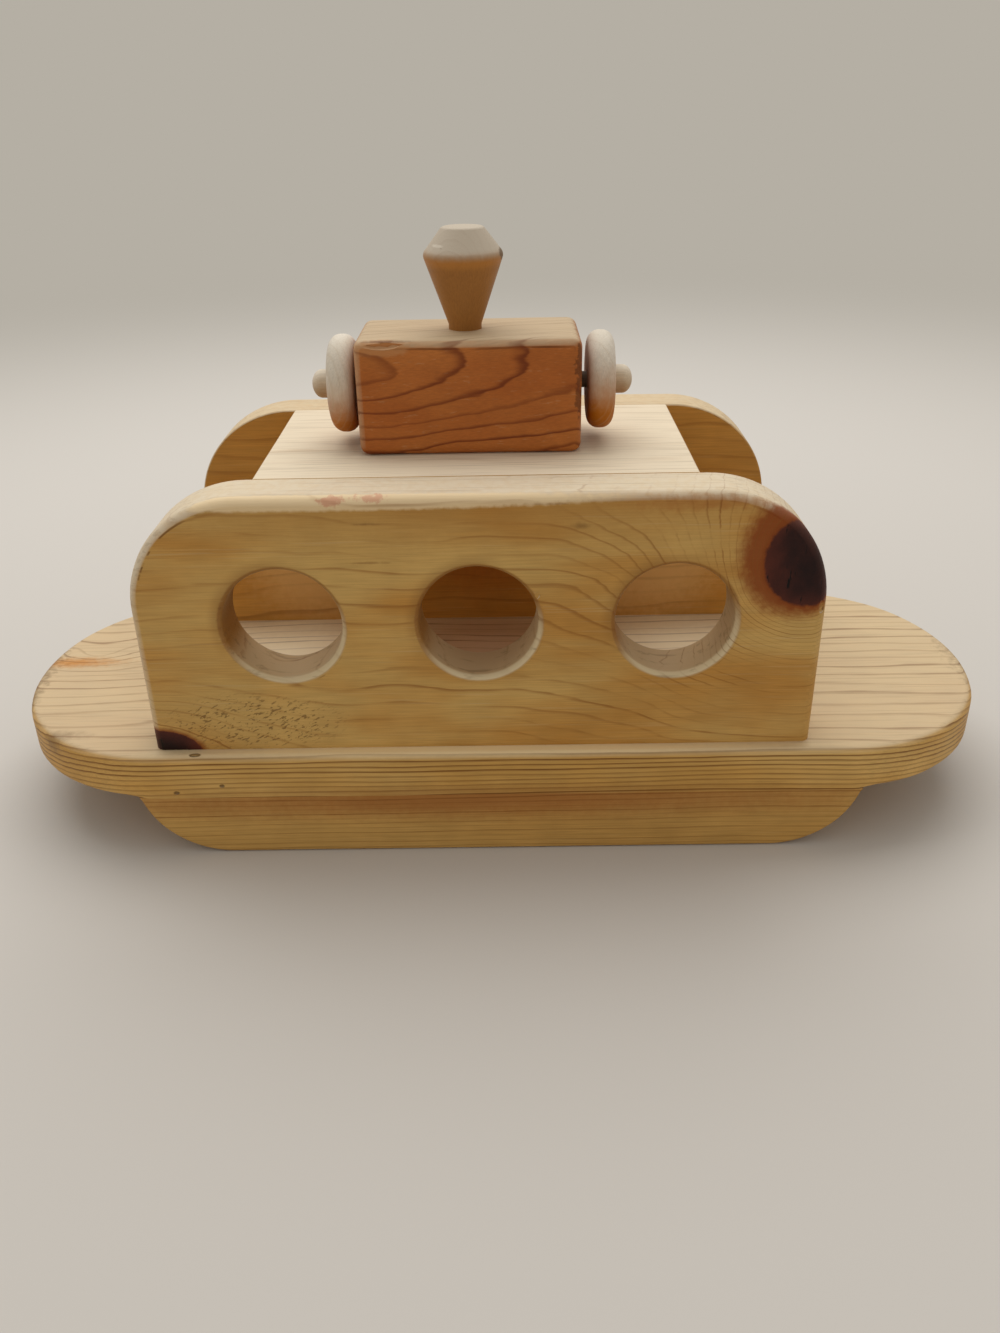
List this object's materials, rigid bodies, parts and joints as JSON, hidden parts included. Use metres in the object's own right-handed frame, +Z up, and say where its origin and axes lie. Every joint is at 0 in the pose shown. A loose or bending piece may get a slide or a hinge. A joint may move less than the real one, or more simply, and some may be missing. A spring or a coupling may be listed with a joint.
{
  "type": "toy ferry boat",
  "caption": "Wooden toy ferry boat: round-ended deck on a shorter hull board, porthole walls and roof over a drive-through car deck, cabin block with funnel and free-turning wheels.",
  "frame": {"origin": "on the floor under the middle of the hull board, at the bottom centre of the bounding box", "axes": "+X along the boat, +Y across it from the near wall to the far wall, +Z up through the funnel"},
  "size_m": [0.411, 0.1524, 0.2283],
  "materials": {
    "varnished_pine": "satin varnish",
    "striped_pine": "satin varnish",
    "knotty_pine": "satin varnish",
    "pale_pine": "satin varnish, rubbed pale",
    "red_fir": "satin varnish",
    "turned_beech": "satin varnish, worn",
    "bare_birch": "bare, sanded",
    "dowel_beech": "bare"
  },
  "bodies": {
    "boat": {"hull_board": "varnished_pine", "deck": "striped_pine", "near_wall": "knotty_pine", "far_wall": "varnished_pine", "roof": "pale_pine", "cabin": "red_fir", "funnel": "turned_beech", "left_axle_peg": "bare_birch", "right_axle_peg": "bare_birch", "hull_dowels": "dowel_beech", "wall_dowels": "dowel_beech", "roof_dowels": "dowel_beech", "cabin_dowels": "dowel_beech"},
    "left_wheel": {"left_wheel": "bare_birch"},
    "right_wheel": {"right_wheel": "bare_birch"}
  },
  "joints": [
    {"name": "left_wheel_spin", "type": "hinge", "parent": "boat", "child": "left_wheel", "pos_m": [-0.0591, 0, 0.1711], "axis": [1, 0, 0], "continuous": true},
    {"name": "right_wheel_spin", "type": "hinge", "parent": "boat", "child": "right_wheel", "pos_m": [0.0415, 0, 0.1711], "axis": [1, 0, 0], "continuous": true}
  ]
}
